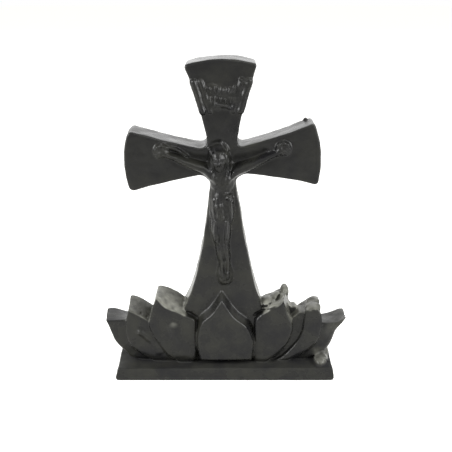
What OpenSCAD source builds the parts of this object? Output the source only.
// Small standing altar or grave cross, one piece of cast iron: a flared cross with a figure in
// relief, rising from a row of seven lotus petals on a low rectangular slab.
//
// The origin is the middle of the slab's underside. X runs along the slab, Y runs from the
// front (-Y) to the back, and Z is up. The cross leans a little, so its outline, the figure
// and the scroll are all drawn in the cross's own upright frame and then turned by `lean`.

/* [Slab] */
// Length of the slab, end to end
slab_w = 138.5; // [110:0.5:180]
// Depth of the slab, front to back
slab_d = 32; // [26:0.5:42]
// Thickness of the slab
slab_h = 9.3; // [6:0.1:14]
// Radius of the slab's lower corners, seen from the front
slab_r = 2.2; // [0.5:0.1:3]
// How much shorter the slab is along its top than along its foot, at each end
slab_draft = 0.8; // [0:0.1:2]

/* [Cross] */
// Height of the cross above the slab
cross_h = 191.4; // [155:0.1:240]
// Thickness of the cross
cross_t = 19.7; // [14:0.1:24]
// Height of the middle of the side arms above the slab
arm_z = 131.3; // [105:0.1:145]
// Reach of each side arm from the middle of the cross
arm_reach = 58.2; // [46:0.1:72]
// Half width of a side arm where it leaves the middle
arm_root = 8.5; // [6:0.1:10]
// Half width of a side arm at its end
arm_tip = 18.6; // [14:0.1:23]
// Half width of the top arm where it leaves the middle
neck_root = 8.8; // [7:0.1:11]
// Half width of the top arm at its end
neck_tip = 20.9; // [16:0.1:25]
// Half width of the stem just under the side arms
stem_root = 7.2; // [6:0.1:9]
// Half width of the stem's foot, behind the petals
stem_foot = 28; // [22:0.1:33]
// How far the stem's left side sweeps out towards its foot
sweep_left = 8.4; // [3:0.1:12]
// How far the stem's right side sweeps out towards its foot
sweep_right = 4.6; // [3:0.1:12]
// How far the round end of each arm stands out past its corners
end_crown = 3; // [1:0.1:5]
// Rounding of the arms' outer corners
corner_r = 3.4; // [1:0.1:5]
// Lean of the cross to the left, in degrees
lean = 1; // [0:0.1:3]
// Rise of the left arm, in degrees
left_rise = 1.5; // [0:0.1:5]
// Rise of the right arm, in degrees
right_rise = 4.2; // [0:0.1:6]

/* [Petals] */
// Height of the middle petal above the slab
petal_h = 44.2; // [36:0.1:54]
// Half width of the middle petal
petal_half = 17.2; // [14:0.1:20]
// How far the middle petal's front stands back from the slab's front edge
petal_ledge = 5; // [2:0.1:8]
// Outward slope of the middle petal's sides, from its front back to the cross
petal_slope = 2.2; // [1:0.1:3]
// Depth of the side petals behind the front of the cross
petal_back = 15.7; // [12:0.1:19]

/* [Figure] */
// Reach of each hand from the middle of the cross
hand_reach = 36.2; // [30:0.1:44]
// Height of the hands above the middle of the arms
hand_rise = 6.6; // [3:0.1:9]
// Drop of the shoulders below the middle of the arms
shoulder_drop = 5; // [3:0.1:8]
// Half width of the shoulders
shoulder_half = 9.2; // [7:0.1:11]
// Drop of the foot of the figure below the middle of the arms
figure_drop = 78.6; // [64:0.1:95]
// How far the chest stands out of the cross
chest_relief = 6.2; // [4:0.1:8]

/* [Scroll] */
// Height of the scroll across the top arm
scroll_h = 18; // [14:0.1:22]
// Distance of the scroll's upper edge below the top of the cross
scroll_down = 12; // [9:0.1:15]
// How far the scroll stands out of the cross
scroll_relief = 1.6; // [0.8:0.1:3]
// Radius of the scroll's rolled ends
roll_r = 1.9; // [1:0.1:3]

/* [Hidden] */
$fn = 32;

iron = [0.17, 0.17, 0.16];     // black satin coating
front_y = slab_d/2 - cross_t;  // front face of the cross, whose back is flush with the slab's
petal_front = petal_ledge - slab_d/2;
petal_stand = front_y - petal_front;  // how far the middle petal stands before the cross
pivot_x = 0.9;                 // where the axis of the cross meets the slab
sink = 1.2;                    // how far the feet of the cross and petals run into the slab
arm_start = 14;                // where the straight sides of the arms begin
curve_steps = 10;              // steps along one side of an arm or one arc

// ---- curves -------------------------------------------------------------------------------

// Points of a shallow arc from p to q that stands off its chord by `bow` of the chord's
// length, to the left on the way from p to q. A straight one is p alone, and q itself is
// left for the next arc.
function arc_points(p, q, bow) =
    let (side = [p[1] - q[1], q[0] - p[0]], n = bow == 0 ? 1 : curve_steps)
    [for (i = [0:n-1]) let (t = i/n) p + t*(q - p) + 4*bow*t*(1 - t)*side];

// Points of a curve that rounds the corner c between a and b.
function corner_points(a, c, b, n = 5) =
    [for (i = [0:n]) let (t = i/n) (1 - t)*(1 - t)*a + 2*t*(1 - t)*c + t*t*b];

// A closed arc chain through the points, with one bow for each arc.
function arc_chain(points, bows) =
    [for (i = [0:len(points)-1])
        each arc_points(points[i], points[(i+1) % len(points)], bows[i])];

function polar(angle) = [cos(angle), sin(angle)];
function reverse(points) = [for (i = [len(points)-1:-1:0]) points[i]];

// ---- cross --------------------------------------------------------------------------------

// Half width of an arm at t of its length: a flare that quickens towards the end.
function flare(root, tip, t) = root + (tip - root)*(0.72*t + 0.28*t*t);

// Half width of the stem at height z above the slab, from its foot up to under the arms: a
// straight flare with a sweep that grows as the fourth power.
function stem_half(z, sweep) =
    let (t = (arm_z - arm_start - z)/84)
    min(stem_foot, stem_root + 12*t + sweep*pow(t, 4));

// One side of an arm from its root to its outer corner, as distance along and half width.
function arm_side(root, tip, reach) =
    let (corner = reach - end_crown, last = corner - corner_r)
    [for (i = [0:curve_steps])
        let (d = arm_start + (last - arm_start)*i/curve_steps)
        [d, flare(root, tip, (d - arm_start)/(corner - arm_start))]];

// The rounded corner and half of the crowned end, from the arm's side to its middle.
function arm_end(root, tip, reach) =
    let (corner = reach - end_crown, v = 1 - corner_r/tip)
    concat(
        corner_points([corner - corner_r, flare(root, tip, 1 - corner_r/(corner - arm_start))],
                      [corner, tip], [corner + end_crown*(1 - v*v), v*tip]),
        [for (i = [1:curve_steps]) let (w = v*(1 - i/curve_steps))
            [corner + end_crown*(1 - w*w), w*tip]]);

// Whole outline of an arm that points at `angle`, right side first, around its end and back.
function arm_outline(root, tip, reach, angle) =
    let (half = concat(arm_side(root, tip, reach), arm_end(root, tip, reach)),
         axis = polar(angle), left = polar(angle + 90))
    concat([for (p = half) p[0]*axis - p[1]*left],
           [for (p = reverse(half)) p[0]*axis + p[1]*left]);

stem_steps = 16;
stem_heights = [for (i = [0:stem_steps]) -sink + (arm_z - arm_start + sink)*i/stem_steps];
stem_right = [for (z = stem_heights) [stem_half(z, sweep_right), z - arm_z]];
stem_left = [for (z = reverse(stem_heights)) [-stem_half(z, sweep_left), z - arm_z]];

right_arm = arm_outline(arm_root, arm_tip, arm_reach, right_rise);
top_arm = arm_outline(neck_root, neck_tip, cross_h - arm_z, 90);
left_arm = arm_outline(arm_root, arm_tip, arm_reach, 180 - left_rise);

// The outline of the cross about the middle of its arms, with its four inner corners rounded.
cross_outline = concat(
    stem_right,
    corner_points(stem_right[stem_steps], [stem_root, -arm_root], right_arm[0]),
    right_arm,
    corner_points(right_arm[len(right_arm)-1], [neck_root, arm_root], top_arm[0]),
    top_arm,
    corner_points(top_arm[len(top_arm)-1], [-neck_root, arm_root], left_arm[0]),
    left_arm,
    corner_points(left_arm[len(left_arm)-1], [-stem_root, -arm_root], stem_left[0]),
    stem_left);

// Places a child drawn in the XY plane upright, with its face at y = front and its back behind.
module upright(front, depth) {
    translate([0, front + depth, 0]) rotate([90, 0, 0]) linear_extrude(depth) children();
}

// Turns its children, drawn about the foot of the cross, by the lean.
module leaning() {
    translate([pivot_x, 0, slab_h]) rotate([0, -lean, 0]) children();
}

module cross_plate() {
    upright(front_y, cross_t) translate([0, arm_z]) polygon(cross_outline);
}

// Stub of a casting gate left on the upper edge of the right arm, towards the back.
module gate_stub() {
    along = 0.83*arm_reach;
    height = 2.2;
    translate([0, slab_d/2 - 2.6, arm_z]) rotate([0, -right_rise, 0])
        translate([along, 0, flare(arm_root, arm_tip, (along - arm_start)/(arm_reach - arm_start)) - 2])
            cylinder(h = 2 + height, r = 1.5);
}

// ---- scroll -------------------------------------------------------------------------------

scroll_top = cross_h - scroll_down;
scroll_inset = 0.4;

// Half width of the top arm at height z above the slab, less the scroll's inset.
function scroll_half(z) =
    flare(neck_root, neck_tip,
          (z - arm_z - arm_start)/(cross_h - arm_z - end_crown - arm_start)) - scroll_inset;

// A band across the top arm whose upper and lower edges sag in shallow arcs.
scroll_outline = let (low = scroll_top - scroll_h, a = scroll_half(scroll_top), b = scroll_half(low))
    arc_chain([[-a, scroll_top], [a, scroll_top], [b, low], [-b, low]], [-0.06, 0, 0.08, 0]);

module rod(p, q, r) {
    run = q - p;
    translate(p) rotate([0, acos(run[2]/norm(run)), atan2(run[1], run[0])])
        cylinder(h = norm(run), r = r);
}

module scroll() {
    inner = roll_r*0.7;
    upright(front_y - scroll_relief, scroll_relief + 2) polygon(scroll_outline);
    for (s = [-1, 1])
        rod([s*(scroll_half(scroll_top - scroll_h + 1) - inner), front_y - 0.8,
             scroll_top - scroll_h + 1],
            [s*(scroll_half(scroll_top - 1) - inner), front_y - 0.8, scroll_top - 1], roll_r);
}

// ---- figure -------------------------------------------------------------------------------

ring_steps = 14;

// A solid skinned over a list of rings, each a list of ring_steps points.
module skin(rings) {
    n = ring_steps;
    last = (len(rings) - 1)*n;
    polyhedron(
        points = [for (ring = rings) each ring],
        faces = concat(
            [[for (i = [0:n-1]) i]],
            [for (k = [0:len(rings)-2], i = [0:n-1]) let (j = (i + 1) % n, a = k*n)
                each [[a + i, a + n + i, a + n + j], [a + i, a + n + j, a + j]]],
            [[for (i = [n-1:-1:0]) last + i]]));
}

// A level ring about x at height z: half width a, and standing b before and behind y.
function level_ring(x, z, a, b, y = front_y) =
    [for (i = [0:ring_steps-1]) let (u = 360*i/ring_steps) [x + a*cos(u), y - b*sin(u), z]];

// An upright ring across an arm at x, with half height a, standing b before and behind y.
function cross_ring(x, z, a, b, y = front_y) =
    [for (i = [0:ring_steps-1]) let (u = 360*i/ring_steps) [x, y - b*cos(u), z + a*sin(u)]];

shoulder_z = arm_z - shoulder_drop;
foot_z = arm_z - figure_drop;
leg_run = shoulder_z - foot_z;      // from the shoulders to the soles
axis_x = -1.2;                      // the body hangs a little left of the cross's axis

// Height at t of the way from the shoulders down to the soles.
function down(t) = shoulder_z - leg_run*t;

module torso() {
    skin([
        level_ring(axis_x, down(-0.06), 3.2, 0.7*chest_relief),
        level_ring(axis_x, down(0.0), 0.86*shoulder_half, 0.9*chest_relief),
        level_ring(axis_x, down(0.05), 0.9*shoulder_half, chest_relief),
        level_ring(axis_x, down(0.1), 0.84*shoulder_half, chest_relief + 0.4),
        level_ring(axis_x, down(0.17), 6.1, 0.86*chest_relief),
        level_ring(axis_x - 0.2, down(0.21), 6.1, 0.9*chest_relief),
        level_ring(axis_x - 0.4, down(0.26), 6.9, chest_relief),
        level_ring(axis_x - 0.6, down(0.33), 7.2, chest_relief + 0.8),
        level_ring(axis_x - 0.5, down(0.41), 6.6, chest_relief + 0.6),
        level_ring(axis_x - 0.3, down(0.44), 5.0, chest_relief - 0.6)]);
}

// One leg from the hip to the ankle, on the side s of the body.
module leg(s) {
    skin([
        level_ring(axis_x + 3.1*s - 0.4, down(0.36), 3.0, chest_relief - 0.4),
        level_ring(axis_x + 2.9*s - 0.2, down(0.46), 3.1, chest_relief + 0.5),
        level_ring(axis_x + 2.6*s, down(0.54), 3.1, chest_relief + 1.0),
        level_ring(axis_x + 2.1*s + 0.5, down(0.6), 2.6, chest_relief - 0.3),
        level_ring(axis_x + 1.9*s + 0.9, down(0.68), 2.6, chest_relief - 1.2),
        level_ring(axis_x + 1.8*s + 1.2, down(0.76), 2.1, chest_relief - 2.0)]);
}

module feet() {
    skin([
        level_ring(axis_x + 1.2, down(0.71), 3.6, chest_relief - 2.2),
        level_ring(axis_x + 1.3, down(0.79), 4.7, chest_relief - 1.2),
        level_ring(axis_x + 1.4, down(0.87), 5.2, chest_relief - 0.4),
        level_ring(axis_x + 1.4, down(0.92), 4.9, chest_relief - 0.8),
        level_ring(axis_x + 1.4, down(0.97), 3.5, chest_relief - 2.0),
        level_ring(axis_x + 1.4, down(1.0), 1.2, chest_relief - 3.8)]);
}

// The head with its hair, bowed forward and a little to the left.
module head() {
    tall = 7.2;
    wide = 5.4;
    middle = shoulder_z + 9.2;
    skin([for (k = [3:-1:-3])
        let (s = sin(28*k), c = cos(28*k))
        level_ring(axis_x - 0.4 - 0.05*k, middle + tall*s, wide*c, 5.4*c, front_y - 2.6 + 0.35*k)]);
}

// One arm from the shoulder to the fingertips, on the side s of the body.
module figure_arm(s) {
    hand_z = arm_z + hand_rise;
    rise = hand_z - shoulder_z;
    ends = [0.1, 0.24, 0.5, 0.68, 0.86, 0.94, 1.04, 1.14];
    lift = [-0.02, -0.02, 0.26, 0.55, 0.84, 0.96, 1.02, 1.02];
    thick = [2.9, 3.2, 2.6, 2.5, 1.9, 2.9, 3.1, 1.7];
    stand = [4.6, 5.0, 4.2, 3.8, 3.2, 3.4, 3.2, 2.0];
    rings = [for (i = [0:len(ends)-1])
        cross_ring(axis_x*(1 - ends[i]) + s*hand_reach*ends[i], shoulder_z + rise*lift[i],
                   thick[i], stand[i])];
    skin(s > 0 ? reverse(rings) : rings);
}

module figure() {
    torso();
    head();
    feet();
    for (s = [-1, 1]) {
        leg(s);
        figure_arm(s);
    }
}

// ---- petals -------------------------------------------------------------------------------

// The middle petal's outline at its front, grown by `grow` all round, as a closed arc chain.
// Its tip is an ogee, its sides are round and its foot is cut straight just over the slab.
function petal_outline(grow) =
    let (half = petal_half + grow, foot = 15.6 + grow, shoulder = 14.2 + grow,
         low = 3.6 - 1.5*grow, shoulder_h = 26.6, tip = petal_h + 2*grow, tip_x = -2)
    arc_chain([[-foot, low], [foot + 1, low], [half + 0.4, low + 11], [shoulder - 1, shoulder_h],
               [tip_x, tip], [-shoulder - 1.4, shoulder_h + 1.5], [-half, low + 12]],
              [0, -0.05, -0.08, 0.05, 0.05, -0.07, -0.05]);

// A solid skinned between the middle petal's outline at its front and a wider one behind.
module middle_petal() {
    y0 = petal_front;
    y1 = front_y + 4;
    grow = petal_slope*(y1 - y0)/petal_stand;
    front = petal_outline(0);
    back = petal_outline(grow);
    n = len(front);
    polyhedron(
        points = concat([for (p = front) [p[0], y0, p[1]]], [for (p = back) [p[0], y1, p[1]]]),
        faces = concat(
            [[for (i = [n-1:-1:0]) i]],
            [for (i = [0:n-1]) let (j = (i + 1) % n)
                each [[i, j, n + j], [i, n + j, n + i]]],
            [[for (i = [0:n-1]) n + i]]));
}

// Side petals. Each one is its tip, its outer belly, its outer foot, its inner foot and its
// inner shoulder, as [x, height above the slab], then how far its front stands before the
// cross as a share of the middle petal's, and how far its outer upper side bows.
side_petals = [
    [[-42.6, 45.4], [-48.2, 27.0], [-30.0, -sink], [-16.5, -sink], [-18.4, 28.6], 0.63, 0.06],
    [[-60.8, 37.2], [-63.0, 19.0], [-38.0, -sink], [-26.0, -sink], [-40.0, 23.0], 0.41, 0.06],
    [[-76.8, 28.2], [-71.6, 14.0], [-44.0, -sink], [-30.0, -sink], [-44.0, 24.0], 0.16, 0.02],
    [[37.0, 44.0], [43.4, 24.0], [30.0, -sink], [16.5, -sink], [18.4, 31.2], 0.63, 0.06],
    [[58.4, 38.8], [61.8, 20.0], [38.0, -sink], [26.0, -sink], [44.0, 26.0], 0.41, 0.06],
    [[77.6, 28.8], [69.6, 13.4], [44.0, -sink], [30.0, -sink], [48.0, 18.6], 0.16, -0.04],
];
lower_bow = 0.13;
shoulder_bow = 0.05;

module side_petal(p) {
    out = p[0][0] > 0 ? 1 : -1;
    stand = p[5]*petal_stand;
    upright(front_y - stand, stand + petal_back)
        translate([0, slab_h])
            polygon(arc_chain([p[0], p[1], p[2], p[3], p[4]],
                              out*[p[6], lower_bow, 0, 0, shoulder_bow]));
}

// Ragged web of cast metal left standing at the back between the first two right petals.
module casting_web() {
    thick = 7;
    upright(front_y + petal_back - thick - 0.4, thick)
        translate([0, slab_h]) polygon([[32, 30], [37.6, 44.6], [41, 39.5], [47, 33], [50, 20]]);
}

module petals() {
    translate([0, 0, slab_h]) middle_petal();
    for (p = side_petals) side_petal(p);
    casting_web();
}

// ---- slab ---------------------------------------------------------------------------------

module slab() {
    w = slab_w/2;
    r = slab_r;
    upright(-slab_d/2, slab_d) polygon(concat(
        corner_points([-w, r], [-w, 0], [-w + r, 0]),
        corner_points([w - r, 0], [w, 0], [w, r]),
        [[w - slab_draft, slab_h], [-w + slab_draft, slab_h]]));
}

// ---- whole piece --------------------------------------------------------------------------

module lotus_cross() {
    color(iron) {
        slab();
        petals();
        leaning() {
            cross_plate();
            gate_stub();
            scroll();
            figure();
        }
    }
}

lotus_cross();
